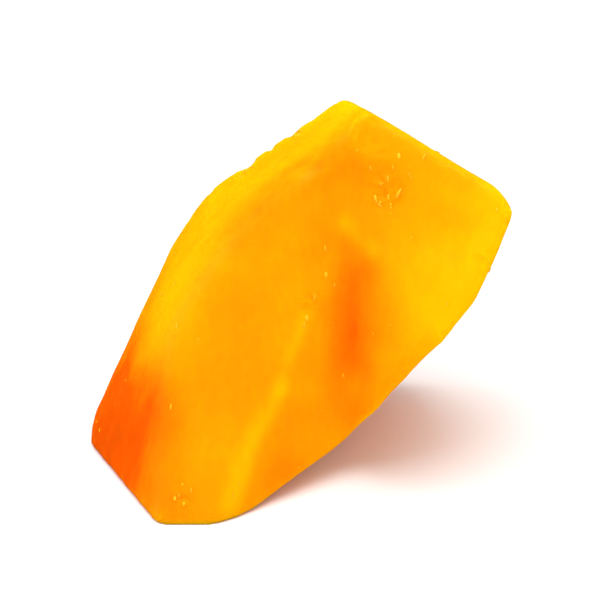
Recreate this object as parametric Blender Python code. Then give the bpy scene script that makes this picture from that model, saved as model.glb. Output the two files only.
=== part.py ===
"""A chunk of fresh ripe mango flesh: one solid piece, standing on a flat cut.

Lengths are in millimetres, and MM turns them into metres. +Z is up and the chunk's main face looks
along -Y. The origin is on the surface that the chunk rests on, under the middle of its outline.

The chunk is a tall slab on the left and a lobe that stands out on the right, with a valley between
them that deepens towards the bottom. Every flat side is one stroke of a knife, written as
(azimuth, tilt, distance). The side looks away from the middle of the chunk, turned by the azimuth
from -Y towards +X and raised by the tilt above level, both in degrees, at that distance. A negative
distance is a side that passes behind the middle. Two shallow hollows dent the top of the main face.
Soft flesh keeps no sharp edge, so the cut shape is rounded afterwards, and its bottom is then
trimmed to a true flat.
"""

import math

import bmesh
import bpy
from mathutils import Vector

MM = 0.001

MIDDLE = Vector((0.0, 0.0, 17.0))  # what every stroke's distance is measured from
BLOCK_SIDE = 90.0  # the block that the strokes cut down

# Strokes that bound both the slab and the lobe
OUTER_STROKES = {
    "base": (0, -90, 17.0),
    "left flank": (-67, 14, 15.9),
    "left side": (-92, 24, 14.3),
    "left shoulder": (-93, 36, 13.5),
    "crown": (-98, 51, 14.2),
    "top right": (128, 49, 23.75),
    "right corner": (115, 29, 25.4),
    "right end": (84, -24, 16.2),
    "under the lobe": (75, -38, 12.8),
    "under the flank": (62, -50, 14.0),
    "back left": (-135, 10, 19.0),
    "back": (180, 4, 15.2),
    "back right": (138, 5, 21.0),
}

# Strokes that bound the slab alone, and the lobe alone
SLAB_STROKES = {
    "main face": (0, 26, 7.5),
    "roll of the left edge": (-43, 41, 12.1),
    "left end of the main face": (-24, 32, 10.8),
    "flank of the valley": (34, 10, 5.8),
}
LOBE_STROKES = {
    "face of the lobe": (-3, 31, 8.4),
    "shoulder of the lobe": (-25, 16, 3.6),
    "wall of the valley": (-54, 4, -2.6),
}

# Shallow hollows pressed into a side: the side, x and z of the middle, radius of curvature, depth
HOLLOWS = (
    (SLAB_STROKES["main face"], 6.0, 33.0, 20.0, 0.8),
    (LOBE_STROKES["face of the lobe"], 16.5, 29.0, 14.0, 0.5),
)

VOXEL = 0.5  # spacing of the mesh that the edges are rounded on
ROUNDING_STEPS = 18  # each one moves every point halfway to the middle of its neighbours
ROUNDING_FACTOR = 0.5
KEPT_SHARE = 0.12  # share of that mesh's faces that the rounded shape needs
BASE_TRIM = 0.25  # height of the rounded bottom that is cut away again
BALL_SUBDIVISIONS = 5

FLESH_COLOUR = (1.0, 0.42, 0.01, 1.0)
FLESH_ROUGHNESS = 0.35


def clear_scene():
    for thing in list(bpy.data.objects):
        bpy.data.objects.remove(thing)


def direction(azimuth, tilt):
    """The unit vector that a side with this azimuth and tilt looks along."""
    azimuth = math.radians(azimuth)
    tilt = math.radians(tilt)
    level = math.cos(tilt)
    return Vector((math.sin(azimuth) * level, -math.cos(azimuth) * level, math.sin(tilt)))


def object_from(name, shape):
    mesh = bpy.data.meshes.new(name)
    shape.to_mesh(mesh)
    shape.free()
    made = bpy.data.objects.new(name, mesh)
    bpy.context.scene.collection.objects.link(made)
    return made


def cut(shape, point, outward):
    """Takes off what lies outside the plane, and closes the cut with one flat face."""
    everything = shape.verts[:] + shape.edges[:] + shape.faces[:]
    made = bmesh.ops.bisect_plane(
        shape, geom=everything, plane_co=point, plane_no=outward, clear_outer=True
    )
    rim = [item for item in made["geom_cut"] if isinstance(item, bmesh.types.BMEdge)]
    bmesh.ops.holes_fill(shape, edges=rim, sides=0)


def cut_block(name, strokes):
    """The block with every stroke made: one convex lobe."""
    shape = bmesh.new()
    bmesh.ops.create_cube(shape, size=BLOCK_SIDE * MM)
    bmesh.ops.translate(shape, verts=shape.verts[:], vec=MIDDLE * MM)
    for azimuth, tilt, distance in strokes.values():
        outward = direction(azimuth, tilt)
        cut(shape, (MIDDLE + outward * distance) * MM, outward)
    bmesh.ops.recalc_face_normals(shape, faces=shape.faces[:])
    return object_from(name, shape)


def hollow_ball(name, side, x, z, radius, depth):
    """A ball that sinks into the side, at this x and z, by the depth."""
    azimuth, tilt, distance = side
    outward = direction(azimuth, tilt)
    y = (distance - x * outward.x - (z - MIDDLE.z) * outward.z) / outward.y
    centre = Vector((x, y, z)) + outward * (radius - depth)
    shape = bmesh.new()
    bmesh.ops.create_icosphere(shape, subdivisions=BALL_SUBDIVISIONS, radius=radius * MM)
    bmesh.ops.translate(shape, verts=shape.verts[:], vec=centre * MM)
    return object_from(name, shape)


def combine(target, operation, other):
    modifier = target.modifiers.new(operation.title(), "BOOLEAN")
    modifier.operation = operation
    modifier.object = other
    modifier.solver = "EXACT"
    other.hide_render = True
    other.display_type = "WIRE"


def soften_edges(target):
    """Rounds every edge and corner by about a millimetre, then thins the mesh where it is flat."""
    remesh = target.modifiers.new("Even mesh", "REMESH")
    remesh.mode = "VOXEL"
    remesh.voxel_size = VOXEL * MM
    smooth = target.modifiers.new("Rounded edges", "SMOOTH")
    smooth.factor = ROUNDING_FACTOR
    smooth.iterations = ROUNDING_STEPS
    decimate = target.modifiers.new("Fewer faces", "DECIMATE")
    decimate.ratio = KEPT_SHARE


def trimmed(target):
    """The finished shape of the object, with a true flat underneath and the origin below its middle."""
    graph = bpy.context.evaluated_depsgraph_get()
    shape = bmesh.new()
    shape.from_object(target, graph)
    cut(shape, Vector((0.0, 0.0, BASE_TRIM * MM)), Vector((0.0, 0.0, -1.0)))
    places = [vertex.co for vertex in shape.verts]
    low = [min(place[axis] for place in places) for axis in range(3)]
    high = [max(place[axis] for place in places) for axis in range(3)]
    middle_of_outline = Vector(((low[0] + high[0]) / 2, (low[1] + high[1]) / 2, low[2]))
    bmesh.ops.translate(shape, verts=shape.verts[:], vec=-middle_of_outline)
    return shape


def flesh_material():
    material = bpy.data.materials.new("mango flesh")
    material.use_nodes = True
    surface = material.node_tree.nodes["Principled BSDF"]
    surface.inputs["Base Color"].default_value = FLESH_COLOUR
    surface.inputs["Roughness"].default_value = FLESH_ROUGHNESS
    surface.inputs["Metallic"].default_value = 0.0
    return material


def build_chunk():
    slab = cut_block("slab", OUTER_STROKES | SLAB_STROKES)
    helpers = [slab, cut_block("lobe", OUTER_STROKES | LOBE_STROKES)]
    combine(slab, "UNION", helpers[1])
    for number, hollow in enumerate(HOLLOWS, start=1):
        helpers.append(hollow_ball(f"hollow_{number}", *hollow))
        combine(slab, "DIFFERENCE", helpers[-1])
    soften_edges(slab)
    shape = trimmed(slab)
    for helper in helpers:
        bpy.data.objects.remove(helper)
    chunk = object_from("mango_chunk", shape)
    chunk.data.shade_smooth()
    chunk.data.materials.append(flesh_material())
    return chunk


clear_scene()
build_chunk()
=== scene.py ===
"""The looks of a fresh mango chunk: its wet flesh, fibres torn by the knife, and beads of juice.

Lengths are in millimetres unless a name says otherwise, and MM turns them into metres. The chunk
stands on z = 0 and its main face looks along -Y.
"""

import math

import bmesh
import bpy
import numpy as np
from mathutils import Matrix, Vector


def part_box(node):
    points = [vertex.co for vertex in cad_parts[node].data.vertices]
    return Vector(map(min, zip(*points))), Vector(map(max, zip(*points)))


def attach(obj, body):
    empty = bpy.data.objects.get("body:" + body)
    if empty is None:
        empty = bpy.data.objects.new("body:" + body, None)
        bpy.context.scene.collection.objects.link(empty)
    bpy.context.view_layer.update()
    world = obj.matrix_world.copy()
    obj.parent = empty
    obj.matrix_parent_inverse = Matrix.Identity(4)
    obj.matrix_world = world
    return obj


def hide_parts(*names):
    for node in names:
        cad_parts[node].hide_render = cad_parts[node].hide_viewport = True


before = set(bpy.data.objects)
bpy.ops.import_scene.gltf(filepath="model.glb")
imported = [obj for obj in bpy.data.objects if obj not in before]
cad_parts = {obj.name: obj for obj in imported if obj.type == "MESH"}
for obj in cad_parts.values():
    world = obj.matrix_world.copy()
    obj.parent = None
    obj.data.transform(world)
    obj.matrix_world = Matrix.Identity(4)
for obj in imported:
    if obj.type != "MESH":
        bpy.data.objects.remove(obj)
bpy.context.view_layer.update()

MM = 0.001
SOLID = "mango_chunk"
BODY = "root"

# The flesh mesh. The rounds are steps of a blur, each of which reaches one vertex further.
FLESH_VOXEL = 0.28
MERGE_DISTANCE = 0.001
STEP_SMOOTHING = 12  # rounds that take off the voxels' steps
ROUNDING_BLUR = 320  # rounds along the soft edges
NARROW_BLUR = 40  # rounds: finds edges about 1 mm wide
WIDE_BLUR = 900  # rounds: finds the valley and the ridges, about 5 mm wide

# Edges that the knife left rounder than the solid has them: points along each, reach and softness
SOFT_EDGES = {
    "left ridge": (
        ((-20, -5, 7), (-16, -6, 16), (-14, -3, 21), (-11, 1, 25), (-7, 4, 29), (-3, 6, 32)),
        7.5,
        1.0,
    ),
    "top of the left ridge": (((-3, 6, 32), (1.5, 5.5, 36)), 6.0, 1.0),
    "left end of the main face": (((-13, -14, 3), (-12, -9, 14), (-12, -5, 21)), 5.0, 0.7),
    "edge of the left flank": (((-15, -15, 2), (-15, -10, 11), (-15, -7, 17)), 4.0, 0.7),
    "valley": (((4.8, -1.5, 28.5), (5.6, -3.5, 21), (5.9, -4.7, 14)), 6.0, 1.0),
    "shoulder of the lobe": (((7.5, -3.4, 27.4), (10, -7.5, 21.2), (11.5, -9.6, 16.5)), 4.5, 0.8),
    "foot of the lobe's shoulder": (((11.5, -9.6, 16.5), (9.3, -8.6, 12.5)), 3.0, 0.25),
    "top of the flank's edge": (((3, -2.5, 27), (1.5, -4.3, 23.5), (0, -6.2, 19.5)), 3.0, 0.5),
}
BASE_RIM = 0.3  # height up to which the base's edge stays as the solid has it
ROUNDING_FADE = 8.0  # height over which the rounding of the soft edges then fades in

# Relief on the flesh. Heights run from a hollow to a crest, and a size is that of one feature.
RELIEF = {
    "Swell height": 0.44,
    "Swell size": 9.0,
    "Back swell height": 0.9,
    "Back swell size": 13.0,
    "Ripple height": 0.05,
    "Ripple size": 1.1,
    "Nick depth": 0.15,
    "Nick size": 1.3,
    "Tear size": 2.2,
    "Pit size": 0.9,
    "Base rim": BASE_RIM,
    "Relief fade": 2.5,  # height above the base's rim over which the relief fades in
}
NICKED_BULGE = (0.05, 0.35)  # bulge at which an edge starts to be nicked, and is nicked in full
NICK_NOISE = (0.55, 0.8)  # noise at which a nick starts, and is at its deepest
TEAR_NOISE = (0.45, 0.58)  # the same of a tear
MOST_NOISE = (0.35, 0.65)  # what most of a noise lies between

# The back, which one long pull of the knife left wavy: points along it, how far it holds its full
# amount, and how far it reaches
WAVY_BACK = (((-6, 16, 10), (8, 16, 12), (6, 16, 22)), 4.0, 14.0)

# Where the knife tore the flesh instead of cutting it: points along the place, reach and depth
TORN_EDGES = {
    "crown": (((-8, 14, 27.5), (-6, 14.5, 29.5), (-3, 15, 32), (0, 15, 34)), 3.5, 0.45),
}

# Where the knife dragged on the flesh and left it pitted: place, reach and depth
DRAGGED = (
    ((9.5, 0.0, 33.0), 4.0, 0.13),
    ((8.0, 1.5, 36.0), 3.0, 0.09),
    ((1.5, -4.5, 21.5), 3.0, 0.10),
    ((-13.0, -15.2, 2.5), 2.5, 0.12),
    ((-6.0, 11.5, 29.3), 2.5, 0.12),
    ((20.0, -5.0, 27.0), 2.5, 0.08),
    ((5.0, 15.5, 22.0), 4.5, 0.13),
    ((8.0, 15.5, 19.0), 3.5, 0.10),
    ((-8.0, 15.0, 8.0), 3.5, 0.08),
    ((18.5, 4.0, 18.0), 4.0, 0.10),
    ((15.0, 6.0, 34.0), 3.0, 0.08),
)

# Beads of juice that stand out: place on the flesh and radius
CLEAR_BEADS = (
    ((0.8, -5.5, 19.9), 0.28),
    ((10.8, 1.4, 36.3), 0.26),
    ((2.8, -3.3, 24.2), 0.24),
    ((-13.7, -15.1, 2.7), 0.20),
    ((-12.7, -15.4, 2.2), 0.18),
    ((9.9, -0.6, 31.4), 0.16),
    ((21.5, -2.0, 31.5), 0.16),
    ((-0.2, 11.1, 34.0), 0.26),
    ((-6.3, 12.2, 29.0), 0.20),
)

# Torn fibres that stand out: place on the flesh, share of the full size, and lean in degrees
CLEAR_FIBRES = (
    ((-0.1, 12.1, 33.9), 1.3, -30),
    ((-0.6, 11.9, 33.4), 0.8, -10),
    ((10.8, -0.5, 32.6), 1.2, -25),
    ((8.3, -0.2, 32.1), 1.1, 20),
    ((8.8, -0.5, 31.3), 0.7, 50),
    ((-5.9, 11.9, 29.3), 0.9, 35),
    ((-6.6, 11.0, 29.0), 0.6, -5),
    ((10.2, 0.9, 35.2), 0.6, 5),
    ((12.0, 0.4, 34.6), 0.5, 10),
    ((0.6, -5.9, 19.2), 0.8, -12),
    ((2.8, -2.7, 27.1), 0.7, 5),
)

# The fainter ones, which gather where the knife dragged and keep off what the chunk stands on
FAINT_BEADS, FAINT_FIBRES = 60, 50
FAINT_BEAD_RADII = (0.06, 0.14)
FAINT_FIBRE_SHARES = (0.35, 0.8)
FAINT_LEAN = 0.5  # radians that one leans to either side of the strands in the flesh
CLEAN_CUT = 0.002  # how much a clean cut draws them, where a dragged place draws them by its depth
DRY_HEIGHT = 1.5  # height below which the flesh is wiped dry by what it stands on
BEAD_SEED, FIBRE_SEED = 3, 11
STRANDS_ALONG = (0.0, 0.0, 1.0)  # the way that the strands run, and so the beads and fibres lie

# A bead of radius 1, measured from its middle, and a fibre of full size
BEAD = {"Bead half length": 1.3, "Bead half width": 0.8, "Bead height": 0.4}
BEAD_SUBDIVISIONS = 2
FIBRE = {
    "Fibre half length": 0.6,
    "Fibre radius": 0.15,
    "Fibre bow": 0.144,  # pull on its middle to one side, which the curve follows halfway
    "Fibre lift": 0.2,  # pull on its middle away from the flesh, which it follows halfway too
}
FIBRE_TIP = 0.25  # thickness of its tips as a share of its middle's
FIBRE_STEPS, FIBRE_SIDES = 8, 6

# Linear colours
YELLOW_FLESH = (0.99, 0.46, 0.001, 1.0)
ORANGE_FLESH = (0.99, 0.29, 0.001, 1.0)
DEEP_FLESH = (0.97, 0.10, 0.001, 1.0)
SHADOWED_FLESH = (0.70, 0.08, 0.001, 1.0)  # painted shadow: the darkest shaded flesh, low on the left
JUICE_COLOUR = (1.0, 0.50, 0.015, 1.0)
FIBRE_COLOUR = (1.0, 0.45, 0.01, 1.0)
FLOOR_WHITE = (0.80, 0.80, 0.80, 1.0)
FLESH_GLINT = (1.0, 0.72, 0.15, 1.0)
MOIST_GLINT = (1.0, 0.85, 0.3, 1.0)

# Shader values, by the names of their sockets
FLESH_SURFACE = {
    "IOR": 1.36,
    "Specular IOR Level": 0.1,
    "Specular Tint": FLESH_GLINT,
    "Subsurface Weight": 1.0,
    "Subsurface Radius": (1.0, 0.35, 0.08),
    "Subsurface Scale": 3.0 * MM,
    "Coat Weight": 0.03,
    "Coat Roughness": 0.12,
    "Coat IOR": 1.34,
}
JUICE_SURFACE = {
    "Base Color": JUICE_COLOUR,
    "Roughness": 0.06,
    "IOR": 1.45,
    "Specular Tint": MOIST_GLINT,
}
FIBRE_SURFACE = {
    "Base Color": FIBRE_COLOUR,
    "Roughness": 0.3,
    "IOR": 1.45,
    "Specular Tint": MOIST_GLINT,
}
BOARD_SURFACE = {"Base Color": FLOOR_WHITE, "Roughness": 0.9, "Specular IOR Level": 0.1}

# The flesh's tone, painted light and shade included, is a number: 0 is orange, 1 yellow, -1 deep
# orange, and from the first of these to the second it turns to the colour of the painted shadow
SHADOW_TONES = (-0.85, -1.5)

# Painted light that the shape adds to the tone at ridges and edges, and painted shade in the
# valley: the bulge at which it starts, the bulge at which it is full, none, and the full amount
RIDGE_PAINTED_LIGHT = (0.1, 1.6, 0.0, 0.45)
EDGE_PAINTED_LIGHT = (0.05, 0.3, 0.0, 0.12)
VALLEY_PAINTED_SHADE = (-0.05, -1.3, 0.0, 0.35)  # painted shade, taken off
RIDGE_LIGHT_HEIGHTS = (4.0, 20.0)  # heights at which a ridge's painted light starts, and is full

# Painted light (above 0) and painted shade (below 0) put into the flesh's colour where it is lit or
# shaded, and
# some paler or darker flesh: points along the place, how far it holds its full amount, how far it
# reaches, and the amount
PAINTED_LIGHT_AND_TONES = {
    # partly paler flesh near the skin, partly painted light on the lit lobe
    "lobe": (((17, -6, 24),), 0.0, 15.0, 0.6),
    "top of the lobe": (((18, -3.5, 29),), 0.0, 9.0, 0.3),
    # painted highlight along the lobe's right rim
    "rim of the lobe": (
        ((16, -8, 20), (18, -7.2, 22), (20.5, -4.4, 27.4), (22, -3, 30)),
        0.2,
        1.4,
        0.5,
    ),
    # painted light: the lit band along the left ridge and crown
    "painted light along the left ridge": (
        (
            (-16, 0, 16),
            (-14, 2, 20),
            (-12, 5, 23),
            (-9, 8, 27),
            (-6, 9.5, 30),
            (-1, 10, 33.5),
            (2, 9.5, 36),
        ),
        2.5,
        7.5,
        0.42,
    ),
    # painted shade inside that lit band
    "painted shade inside the lit band": (
        ((-6.5, -1.5, 28.5), (-3.5, 0, 31.5), (0, 1.5, 34.5), (3.5, 2, 37)),
        0.0,
        4.5,
        -0.62,
    ),
    # painted shade along the crown's back edge
    "painted shade on the crown's back edge": (
        ((-7, 13, 28.5), (-4, 12, 31), (-1, 9.5, 33.5), (1, 8, 35.5), (3, 9, 37)),
        1.0,
        4.5,
        -0.2,
    ),
    # deeper flesh near the stone, darkened much further by a painted shadow
    "painted shadow low on the left": (((-22.5, 1, 1), (-21.5, 0, 4), (-20.5, -3, 5)), 1.0, 17.0, -1.3),
    # painted shadow, deepest low on the left
    "painted shadow lowest on the left": (((-22, 0, 3),), 0.0, 6.0, -0.2),
    # painted shadow: its soft edge on the left flank
    "edge of the painted shadow": (((-16.2, -7.8, 12.3), (-15.4, -11, 9.4)), 0.0, 4.5, -0.3),
    # painted shade down the valley, and painted light on its flank
    "head of the valley": (((5, -1, 31),), 0.0, 9.0, -0.05),
    "valley": (((6.4, -2.5, 27), (6.6, -3.5, 21), (6.5, -4.6, 15)), 0.0, 4.0, -0.4),
    "wall of the valley": (((8.2, -5.4, 24.5), (9, -6.3, 22), (9.4, -7.2, 19)), 0.0, 3.8, -0.38),
    "top of the flank": (((2.4, -3.8, 22.8), (3.2, -2.9, 25.2)), 0.0, 2.5, 0.2),
    "flank of the valley": (((0.5, -5.2, 23), (1.2, -5.8, 17), (0.8, -7.2, 12.5)), 0.5, 4.0, 0.28),
    "floor of the valley": (((6.6, -3, 25), (6.7, -4.6, 18)), 0.0, 2.8, -0.25),
    # painted highlight on the ledge over the valley
    "ledge over the valley": (
        ((4.9, -1.3, 29.6), (6.2, -2.2, 28.6), (7.5, -3.2, 27.6)),
        0.0,
        1.8,
        0.4,
    ),
    # painted highlight along the flank's convex edge, down to its foot
    "flank's edge": (((0.8, -5.5, 20.2), (-1.4, -7.9, 15.8), (-2.1, -9, 12.9)), 0.0, 1.5, 0.5),
    "foot of the flank's edge": (
        ((-2.1, -9, 12.9), (-5.6, -12.5, 7.3), (-7.5, -15, 1.8)),
        0.0,
        2.2,
        0.6,
    ),
    # painted shade at the top right edge, the lobe's right end and the feet, painted light at the
    # right corner, the left edge and on the slab, and painted shade by the scoop
    "top right edge": (((3, 5, 39), (8, 4, 39), (15, 2, 35), (18, 1, 34)), 0.0, 3.0, -0.25),
    "right corner": (((20.3, -1.1, 33),), 0.0, 3.5, 0.15),
    "right end of the lobe": (((18.3, -5.3, 25.9),), 0.0, 4.0, -0.12),
    "left edge": (((-16, 5, 16.5), (-15.4, 2, 18.2)), 0.0, 4.0, 0.22),
    "left foot": (((-16.5, -13.7, 1.2), (-14, -15.4, 2)), 0.0, 3.5, -0.2),
    "right foot": (((-2.5, -11, 4), (-0.5, -10, 3)), 0.0, 3.0, -0.2),
    "left of the scoop": (((-9, -5.5, 21.5),), 0.0, 5.0, -0.15),
    "scoop": (((-9, -4, 25), (-8, -6, 22)), 0.0, 5.0, -0.2),
    # darker towards the bottom of the back
    "darker low on the back": (((-12, 14, 3), (2, 15.5, 3)), 0.0, 17.0, -0.35),
    # paler towards the top of the back
    "paler high on the back": (((2, 16, 24), (10, 15, 24)), 0.0, 9.0, 0.3),
    "middle of the slab": (((-12, -9.5, 13.5),), 0.0, 5.0, 0.15),
    "low on the slab": (((-10, -13, 6),), 0.0, 9.0, 0.35),
}

# Patterns in the flesh: size of one feature, and how much the tone or the height swings with it
MOTTLE_SIZE, MOTTLE_TONE = 11.0, 0.6
GRAIN_SIZE, GRAIN_SHARE = 0.5, 0.5  # fine grain, against the height of the strands

# The fine strands: how the pattern is squeezed along x, y and z, its size, its height and its tone
STRAND_RUN = (1.0, 1.0, 0.12)
STRAND_SIZE, STRAND_HEIGHT, STRAND_TONE = 0.9, 0.05, 0.35

# How far the strands wander from one side to the other, and over what length
WANDER, WANDER_SIZE = 6.0, 16.0
MIDDLE_NOISE = (0.5, 0.5, 0.5)

# How unevenly the marked painted light and shade take: squeeze along x, y and z, size, what the
# noise runs between, and what it multiplies them by
PATCH_RUN = (1.0, 1.0, 0.35)
PATCH_SIZE = 2.4
PATCH_NOISE = (0.3, 0.7)
PATCH_FACTORS = (0.8, 1.2)

# Roughness of the wettest and the driest flesh, and size of a wet patch
WET_ROUGHNESS = (0.34, 0.46)
WET_PATCH_SIZE = 3.5

# Camera
CAMERA_ELEVATION = 28.0  # degrees above level, looking along +Y
CAMERA_DROP = 1.0  # how far below the chunk's middle it looks
CAMERA_REACH = 10.0  # metres that it sees
LENS = 500.0
SENSOR = 36.0
FRAME_WIDTH = 66.0  # width of what the picture takes in, at the chunk

# Light and floor
SOFTBOXES = {  # place, side and watts
    "overhead softbox": ((20, -60, 380), 260, 1.32),
    "fill from the left": ((-330, 20, 160), 220, 0.22),
}
ROOM_COLOUR = (1.0, 1.0, 1.0, 1.0)
ROOM_STRENGTH = 0.83
FLOOR_SIDE = 6000.0


class Tree:
    """Adds nodes to a node tree, each with its inputs as values or as links."""

    def __init__(self, tree):
        self.tree = tree

    def link(self, output, socket):
        self.tree.links.new(output, socket)

    def add(self, kind, inputs=None, **settings):
        node = self.tree.nodes.new(kind)
        for name, value in settings.items():
            setattr(node, name, value)
        for key, value in (inputs or {}).items():
            self.give(node.inputs[key], value)
        return node

    def give(self, socket, value):
        if isinstance(value, bpy.types.NodeSocket):
            self.link(value, socket)
        else:
            socket.default_value = value

    def math(self, operation, *values):
        return self.add("ShaderNodeMath", dict(enumerate(values)), operation=operation).outputs[0]

    def vector(self, operation, *values):
        node = self.add("ShaderNodeVectorMath", dict(enumerate(values)), operation=operation)
        return node.outputs["Value" if operation == "DOT_PRODUCT" else "Vector"]

    def scaled(self, vector, factor):
        inputs = {0: vector, "Scale": factor}
        return self.add("ShaderNodeVectorMath", inputs, operation="SCALE").outputs["Vector"]

    def point(self, x, y, z):
        return self.add("ShaderNodeCombineXYZ", {0: x, 1: y, 2: z}).outputs[0]

    def height_of(self, vector):
        return self.add("ShaderNodeSeparateXYZ", {0: vector}).outputs[2]

    def ramp(self, value, low, high, to_low=0.0, to_high=1.0, smooth=True):
        """The value's way from low to high, eased if smooth, as a number from to_low to to_high."""
        inputs = {"Value": value, 1: low, 2: high, 3: to_low, 4: to_high}
        style = "SMOOTHSTEP" if smooth else "LINEAR"
        return self.add("ShaderNodeMapRange", inputs, interpolation_type=style).outputs[0]

    def noise(self, vector, fineness, detail=2.0):
        """Noise from 0 to 1, about 0.5, whose features are about 1 / fineness metres across."""
        inputs = {"Vector": vector, "Scale": fineness, "Detail": detail}
        return self.add("ShaderNodeTexNoise", inputs).outputs[0]

    def swing(self, vector, fineness, detail=2.0):
        """The same noise, from -0.5 to 0.5."""
        return self.math("SUBTRACT", self.noise(vector, fineness, detail), 0.5)

    def mark(self, name, kind="FLOAT"):
        """What a geometry carries on each of its points under this name."""
        inputs = {"Name": name}
        return self.add("GeometryNodeInputNamedAttribute", inputs, data_type=kind).outputs[0]


def geometry_tree(name, sizes):
    """A new Geometry Nodes tree with a named input for each size: (writer, inputs by name)."""
    tree = bpy.data.node_groups.new(name, "GeometryNodeTree")
    tree.interface.new_socket("Geometry", in_out="INPUT", socket_type="NodeSocketGeometry")
    tree.interface.new_socket("Geometry", in_out="OUTPUT", socket_type="NodeSocketGeometry")
    for size in sizes:
        tree.interface.new_socket(size, in_out="INPUT", socket_type="NodeSocketFloat")
    writer = Tree(tree)
    return writer, writer.add("NodeGroupInput").outputs


def ended(writer, shape, material):
    """The tree, ended with everything in its shape made real and given the material."""
    real = writer.add("GeometryNodeRealizeInstances", {"Geometry": shape}).outputs[0]
    inputs = {"Geometry": real, "Material": material}
    finished = writer.add("GeometryNodeSetMaterial", inputs).outputs[0]
    writer.add("NodeGroupOutput", {"Geometry": finished})
    return writer.tree


def plain(thing):
    """Applies the object's modifiers and takes them off it."""
    graph = bpy.context.evaluated_depsgraph_get()
    mesh = bpy.data.meshes.new_from_object(thing.evaluated_get(graph), depsgraph=graph)
    thing.modifiers.clear()
    thing.data = mesh
    mesh.name = thing.name


def grown(thing, tree, sizes):
    """Runs the tree on the object with the tree's sizes set, and leaves a plain mesh."""
    modifier = thing.modifiers.new(tree.name, "NODES")
    modifier.node_group = tree
    for socket in tree.interface.items_tree:
        if socket.in_out == "INPUT" and socket.name in sizes:
            modifier[socket.identifier] = sizes[socket.name] * MM
    plain(thing)


def shaded(name, values):
    """A new material, whose shader has these values on the sockets of these names."""
    material = bpy.data.materials.new(name)
    material.use_nodes = True
    surface = material.node_tree.nodes["Principled BSDF"]
    for socket, value in values.items():
        surface.inputs[socket].default_value = value
    return material


def dressed(piece, material):
    """Finishes a piece, with this material alone, since new shapes bring an empty slot too."""
    piece.data.materials.clear()
    piece.data.materials.append(material)
    piece.data.shade_smooth()
    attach(piece, BODY)


# Flesh


def eased(share):
    share = np.clip(share, 0.0, 1.0)
    return share * share * (3.0 - 2.0 * share)


def nearness(points, route, reach, core=0.0):
    """For each point, 1 within the core of the line through the route, easing to 0 at its reach."""
    route = np.array(route, dtype=float) * MM
    away = np.min(np.linalg.norm(points[:, None] - route[None], axis=2), axis=1)
    for start, end in zip(route, route[1:]):
        run = end - start
        along = np.clip((points - start) @ run / (run @ run), 0.0, 1.0)
        away = np.minimum(away, np.linalg.norm(points - start - along[:, None] * run, axis=1))
    return eased((reach - away / MM) / (reach - core))


def marks_on_flesh(points):
    """What each point of the flesh carries, by name, for the relief, the material and the seats."""
    softness = np.zeros(len(points))
    for route, reach, amount in SOFT_EDGES.values():
        softness = np.maximum(softness, amount * nearness(points, route, reach))
    softness *= eased((points[:, 2] - BASE_RIM * MM) / (ROUNDING_FADE * MM))
    tear = np.zeros(len(points))
    for route, reach, depth in TORN_EDGES.values():
        tear = np.maximum(tear, depth * nearness(points, route, reach))
    drag = np.zeros(len(points))
    for place, reach, depth in DRAGGED:
        drag = np.maximum(drag, depth * nearness(points, (place,), reach))
    route, core, reach = WAVY_BACK
    wavy = nearness(points, route, reach, core)
    # painted light and shade, marked on the flesh
    tone_with_painted_light = np.zeros(len(points))
    for route, core, reach, amount in PAINTED_LIGHT_AND_TONES.values():
        tone_with_painted_light += amount * nearness(points, route, reach, core)
    return {"softness": softness, "wavy": wavy, "tear": tear, "drag": drag, "tone_with_painted_light": tone_with_painted_light}


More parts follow.
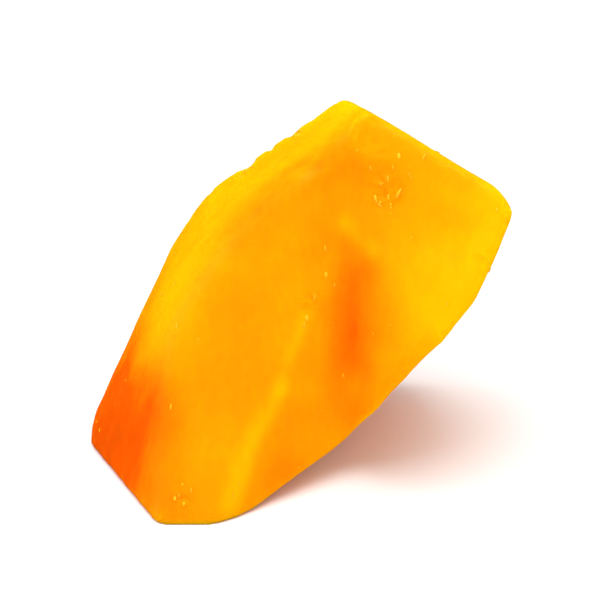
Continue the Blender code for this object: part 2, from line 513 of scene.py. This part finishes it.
def flesh_relief(material):
    """Rounds the soft edges, marks how far each point bulges, and puts the relief on the flesh."""
    tree, start = geometry_tree("flesh relief", RELIEF)
    place = tree.add("GeometryNodeInputPosition").outputs[0]
    outward = tree.add("GeometryNodeInputNormal").outputs[0]

    def blurred_place(rounds, weight=1.0):
        inputs = {"Value": place, "Iterations": rounds, "Weight": weight}
        return tree.add("GeometryNodeBlurAttribute", inputs, data_type="FLOAT_VECTOR").outputs[0]

    def bulge(rounds):
        """How far the flesh stands out from its blurred shape, in millimetres."""
        apart = tree.vector("SUBTRACT", place, blurred_place(rounds))
        return tree.math("MULTIPLY", tree.vector("DOT_PRODUCT", apart, outward), 1.0 / MM)

    def swells(kind, detail):
        """How far the swells of this kind lift or sink each point."""
        fineness = tree.math("DIVIDE", 1.0, start[f"{kind} size"])
        return tree.math("MULTIPLY", tree.swing(place, fineness, detail), start[f"{kind} height"])

    def spots(kind, detail, noise, *depths):
        """How deep the spots of this kind are at each point: from none to full, or as given."""
        fineness = tree.math("DIVIDE", 1.0, start[f"{kind} size"])
        return tree.ramp(tree.noise(place, fineness, detail), *noise, *depths)

    rounded_place = blurred_place(ROUNDING_BLUR, tree.mark("softness"))
    inputs = {"Geometry": start["Geometry"], "Position": rounded_place}
    shape = tree.add("GeometryNodeSetPosition", inputs).outputs[0]
    for name, rounds in (("narrow_bulge", NARROW_BLUR), ("wide_bulge", WIDE_BLUR)):
        inputs = {"Geometry": shape, "Name": name, "Value": bulge(rounds)}
        shape = tree.add(
            "GeometryNodeStoreNamedAttribute", inputs, data_type="FLOAT", domain="POINT"
        ).outputs[0]

    waves = tree.math("MULTIPLY", swells("Back swell", detail=0.0), tree.mark("wavy"))
    swell = tree.math("ADD", swells("Swell", detail=1.0), waves)
    even = tree.math("ADD", swell, swells("Ripple", detail=2.0))

    edge = tree.ramp(tree.mark("narrow_bulge"), *NICKED_BULGE)
    nick_depth = tree.math("MULTIPLY", start["Nick depth"], -1.0)
    nicks = tree.math("MULTIPLY", spots("Nick", 1.0, NICK_NOISE), edge)
    nicks = tree.math("MULTIPLY", nicks, nick_depth)
    tears = tree.math("MULTIPLY", tree.mark("tear"), -MM)
    tears = tree.math("MULTIPLY", tears, spots("Tear", 2.0, TEAR_NOISE))
    pits = tree.math("MULTIPLY", tree.mark("drag"), spots("Pit", 1.0, MOST_NOISE, -MM, MM))
    uneven = tree.math("ADD", nicks, tree.math("ADD", tears, pits))

    faded_in = tree.math("ADD", start["Base rim"], start["Relief fade"])
    above_base = tree.ramp(tree.height_of(place), start["Base rim"], faded_in)
    height = tree.math("MULTIPLY", tree.math("ADD", even, uneven), above_base)
    inputs = {"Geometry": shape, "Offset": tree.scaled(outward, height)}
    return ended(tree, tree.add("GeometryNodeSetPosition", inputs).outputs[0], material)


def flesh_piece(material):
    """A fine copy of the solid, with its relief."""
    shape = bmesh.new()
    shape.from_mesh(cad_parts[SOLID].data)
    bmesh.ops.remove_doubles(shape, verts=shape.verts[:], dist=MERGE_DISTANCE * MM)
    mesh = bpy.data.meshes.new("flesh")
    shape.to_mesh(mesh)
    shape.free()
    flesh = bpy.data.objects.new("flesh", mesh)
    bpy.context.scene.collection.objects.link(flesh)
    fine = flesh.modifiers.new("fine mesh", "REMESH")
    fine.mode = "VOXEL"
    fine.voxel_size = FLESH_VOXEL * MM
    smooth = flesh.modifiers.new("no voxel steps", "SMOOTH")
    smooth.iterations = STEP_SMOOTHING
    plain(flesh)
    points = np.zeros(len(flesh.data.vertices) * 3)
    flesh.data.vertices.foreach_get("co", points)
    for name, values in marks_on_flesh(points.reshape(-1, 3)).items():
        flesh.data.attributes.new(name, "FLOAT", "POINT").data.foreach_set("value", values)
    grown(flesh, flesh_relief(material), RELIEF)
    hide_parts(SOLID)
    dressed(flesh, material)
    return flesh


def flesh_material():
    """Translucent wet flesh, yellow with painted light at its ridges and edges, deep orange with
    painted shade in the valley.
    """
    material = shaded("mango flesh", FLESH_SURFACE)
    surface = material.node_tree.nodes["Principled BSDF"]
    tree = Tree(material.node_tree)
    place = tree.add("ShaderNodeTexCoord").outputs["Object"]

    def carried(name):
        return tree.add("ShaderNodeAttribute", attribute_name=name).outputs["Fac"]

    def fineness(size):
        return 1.0 / (size * MM)

    def blend(factor, a, b):
        mix = tree.add("ShaderNodeMix", data_type="RGBA")
        colours = [socket for socket in mix.inputs if socket.type == "RGBA"]
        for socket, value in ((mix.inputs[0], factor), (colours[0], a), (colours[1], b)):
            tree.give(socket, value)
        return [socket for socket in mix.outputs if socket.type == "RGBA"][0]

    tone_with_painted_light = tree.math("MULTIPLY", tree.swing(place, fineness(MOTTLE_SIZE)), MOTTLE_TONE)
    wide = carried("wide_bulge")
    low, high = RIDGE_LIGHT_HEIGHTS
    up_the_chunk = tree.ramp(tree.height_of(place), low * MM, high * MM)
    # painted light on the ridges, more of it higher up
    ridge_light = tree.math("MULTIPLY", tree.ramp(wide, *RIDGE_PAINTED_LIGHT), up_the_chunk)
    tone_with_painted_light = tree.math("ADD", tone_with_painted_light, ridge_light)
    # painted highlight along the narrow edges, and painted shade in the valley
    tone_with_painted_light = tree.math("ADD", tone_with_painted_light, tree.ramp(carried("narrow_bulge"), *EDGE_PAINTED_LIGHT))
    tone_with_painted_light = tree.math("SUBTRACT", tone_with_painted_light, tree.ramp(wide, *VALLEY_PAINTED_SHADE))

    patch_place = tree.vector("MULTIPLY", place, PATCH_RUN)
    patches = tree.noise(patch_place, fineness(PATCH_SIZE), detail=3.0)
    patches = tree.ramp(patches, *PATCH_NOISE, *PATCH_FACTORS, smooth=False)
    # the painted light and shade marked on the flesh
    tone_with_painted_light = tree.math("ADD", tone_with_painted_light, tree.math("MULTIPLY", carried("tone_with_painted_light"), patches))

    wander = tree.add("ShaderNodeTexNoise", {"Vector": place, "Scale": fineness(WANDER_SIZE)})
    wander = tree.vector("SUBTRACT", wander.outputs["Color"], MIDDLE_NOISE)
    strand_place = tree.vector("ADD", place, tree.scaled(wander, WANDER * MM))
    strand_place = tree.vector("MULTIPLY", strand_place, STRAND_RUN)
    strands = tree.swing(strand_place, fineness(STRAND_SIZE), detail=3.0)
    tone_with_painted_light = tree.math("ADD", tone_with_painted_light, tree.math("MULTIPLY", strands, STRAND_TONE))

    pale = tree.ramp(tone_with_painted_light, 0.0, 1.0, smooth=False)
    deep = tree.ramp(tone_with_painted_light, 0.0, -1.0, smooth=False)
    colour = blend(deep, blend(pale, ORANGE_FLESH, YELLOW_FLESH), DEEP_FLESH)
    colour = blend(tree.ramp(tone_with_painted_light, *SHADOW_TONES, smooth=False), colour, SHADOWED_FLESH)
    tree.link(colour, surface.inputs["Base Color"])

    wetness = tree.noise(place, fineness(WET_PATCH_SIZE))
    tree.link(tree.ramp(wetness, *MOST_NOISE, *WET_ROUGHNESS), surface.inputs["Roughness"])
    grain = tree.math("MULTIPLY", tree.swing(place, fineness(GRAIN_SIZE)), GRAIN_SHARE)
    inputs = {
        "Height": tree.math("ADD", strands, grain),
        "Strength": 1.0,
        "Distance": STRAND_HEIGHT * MM,
    }
    tree.link(tree.add("ShaderNodeBump", inputs).outputs[0], surface.inputs["Normal"])
    return material


# Beads of juice and torn fibres


def seats(name, flesh, clear, faint, sizes, seed):
    """An object of loose points on the flesh, each with the way it faces, a size and a lean."""
    chance = np.random.default_rng(seed)
    spots, ups = [], []
    for place, *_ in clear:
        _, spot, up, _ = flesh.closest_point_on_mesh(Vector(place) * MM)
        spots.append(spot)
        ups.append(up)
    size = [item[1] for item in clear] + list(chance.uniform(*sizes, faint))
    lean = [math.radians(item[2]) if len(item) > 2 else 0.0 for item in clear]
    lean += list(chance.uniform(-FAINT_LEAN, FAINT_LEAN, faint))
    vertices = flesh.data.vertices
    pull = np.zeros(len(vertices))
    flesh.data.attributes["drag"].data.foreach_get("value", pull)
    heights = np.array([vertex.co.z for vertex in vertices])
    pull = (pull + CLEAN_CUT) * (heights > DRY_HEIGHT * MM)
    for pick in chance.choice(len(pull), faint, replace=False, p=pull / pull.sum()):
        spots.append(vertices[pick].co.copy())
        ups.append(vertices[pick].normal.copy())
    mesh = bpy.data.meshes.new(name)
    mesh.from_pydata(spots, [], [])
    mesh.attributes.new("up", "FLOAT_VECTOR", "POINT").data.foreach_set("vector", np.ravel(ups))
    mesh.attributes.new("size", "FLOAT", "POINT").data.foreach_set("value", size)
    mesh.attributes.new("lean", "FLOAT", "POINT").data.foreach_set("value", lean)
    placed = bpy.data.objects.new(name, mesh)
    bpy.context.scene.collection.objects.link(placed)
    return placed


def strewn(placed, shape_of_one, measures, material):
    """Stands one shape on each of the points: upright, along the strands, turned by its lean."""
    tree, start = geometry_tree(placed.name, measures)
    inputs = {"Vector": tree.mark("up", "FLOAT_VECTOR")}
    upright = tree.add("FunctionNodeAlignRotationToVector", inputs, axis="Z").outputs[0]
    inputs = {"Rotation": upright, "Vector": STRANDS_ALONG}
    along = tree.add(
        "FunctionNodeAlignRotationToVector", inputs, axis="X", pivot_axis="Z"
    ).outputs[0]
    inputs = {"Axis": (0, 0, 1), "Angle": tree.mark("lean")}
    lean = tree.add("FunctionNodeAxisAngleToRotation", inputs).outputs[0]
    turned = tree.add("FunctionNodeRotateRotation", {0: along, 1: lean}, rotation_space="LOCAL")
    inputs = {
        "Points": start["Geometry"],
        "Instance": shape_of_one(tree, start),
        "Rotation": turned.outputs[0],
        "Scale": tree.mark("size"),
    }
    shapes = tree.add("GeometryNodeInstanceOnPoints", inputs).outputs[0]
    grown(placed, ended(tree, shapes, material), measures)
    dressed(placed, material)


def one_bead(tree, start):
    """A ball drawn out along X and flattened, with its middle on the skin."""
    inputs = {"Radius": 1.0, "Subdivisions": BEAD_SUBDIVISIONS}
    ball = tree.add("GeometryNodeMeshIcoSphere", inputs).outputs[0]
    shape = tree.point(start["Bead half length"], start["Bead half width"], start["Bead height"])
    return tree.add("GeometryNodeTransform", {"Geometry": ball, "Scale": shape}).outputs[0]


def one_fibre(tree, start):
    """A strand that lies along X, lifts off the skin in its middle and tapers to both ends."""
    half = start["Fibre half length"]
    radius = start["Fibre radius"]
    sunk = tree.math("MULTIPLY", radius, -1.0)
    inputs = {
        "Resolution": FIBRE_STEPS,
        "Start": tree.point(tree.math("MULTIPLY", half, -1.0), 0.0, sunk),
        "Middle": tree.point(0.0, start["Fibre bow"], start["Fibre lift"]),
        "End": tree.point(half, 0.0, sunk),
    }
    line = tree.add("GeometryNodeCurveQuadraticBezier", inputs)
    along = tree.add("GeometryNodeSplineParameter").outputs["Factor"]
    bell = tree.math("SINE", tree.math("MULTIPLY", along, math.pi))
    thickness = tree.math("ADD", tree.math("MULTIPLY", bell, 1.0 - FIBRE_TIP), FIBRE_TIP)
    inputs = {"Resolution": FIBRE_SIDES, "Radius": radius}
    profile = tree.add("GeometryNodeCurvePrimitiveCircle", inputs)
    inputs = {
        "Curve": line.outputs[0],
        "Profile Curve": profile.outputs[0],
        "Scale": thickness,
        "Fill Caps": True,
    }
    return tree.add("GeometryNodeCurveToMesh", inputs).outputs[0]


# Camera, light and floor


def aim(thing, target):
    """Turns a lamp or camera, which looks along its own -Z, towards the target."""
    thing.rotation_euler = (target - thing.location).to_track_quat("-Z", "Y").to_euler()


def place_camera(target):
    camera = bpy.data.objects.new("camera", bpy.data.cameras.new("camera"))
    bpy.context.scene.collection.objects.link(camera)
    camera.data.lens = LENS
    camera.data.sensor_width = SENSOR
    distance = FRAME_WIDTH * MM * LENS / SENSOR
    elevation = math.radians(CAMERA_ELEVATION)
    camera.location = target + Vector((0.0, -math.cos(elevation), math.sin(elevation))) * distance
    camera.data.clip_end = CAMERA_REACH
    aim(camera, target)
    bpy.context.scene.camera = camera


def softbox(name, location, side, watts, target):
    light = bpy.data.objects.new(name, bpy.data.lights.new(name, "AREA"))
    bpy.context.scene.collection.objects.link(light)
    light.data.shape = "SQUARE"
    light.data.size = side * MM
    light.data.energy = watts
    light.location = Vector(location) * MM
    aim(light, target)


def white_surroundings():
    """A white room that lights the chunk but isn't mirrored in it."""
    world = bpy.data.worlds.new("white room")
    bpy.context.scene.world = world
    world.use_nodes = True
    background = world.node_tree.nodes["Background"]
    background.inputs["Color"].default_value = ROOM_COLOUR
    background.inputs["Strength"].default_value = ROOM_STRENGTH
    world.cycles_visibility.glossy = False


def white_floor():
    """A pale board, which isn't mirrored in the chunk either."""
    bpy.ops.mesh.primitive_plane_add(size=FLOOR_SIDE * MM, location=(0.0, 0.0, 0.0))
    floor = bpy.context.object
    floor.name = "floor"
    floor.data.materials.append(shaded("matt white board", BOARD_SURFACE))
    floor.visible_glossy = False


lowest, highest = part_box(SOLID)
middle = (lowest + highest) / 2

flesh = flesh_piece(flesh_material())
juice_beads = seats("juice_beads", flesh, CLEAR_BEADS, FAINT_BEADS, FAINT_BEAD_RADII, BEAD_SEED)
strewn(juice_beads, one_bead, BEAD, shaded("mango juice", JUICE_SURFACE))
torn_fibres = seats(
    "torn_fibres", flesh, CLEAR_FIBRES, FAINT_FIBRES, FAINT_FIBRE_SHARES, FIBRE_SEED
)
strewn(torn_fibres, one_fibre, FIBRE, shaded("torn fibre", FIBRE_SURFACE))

white_floor()
white_surroundings()
for name, (location, side, watts) in SOFTBOXES.items():
    softbox(name, location, side, watts, middle)
place_camera(middle + Vector((0.0, 0.0, -CAMERA_DROP)) * MM)
bpy.context.scene.view_settings.view_transform = "Standard"
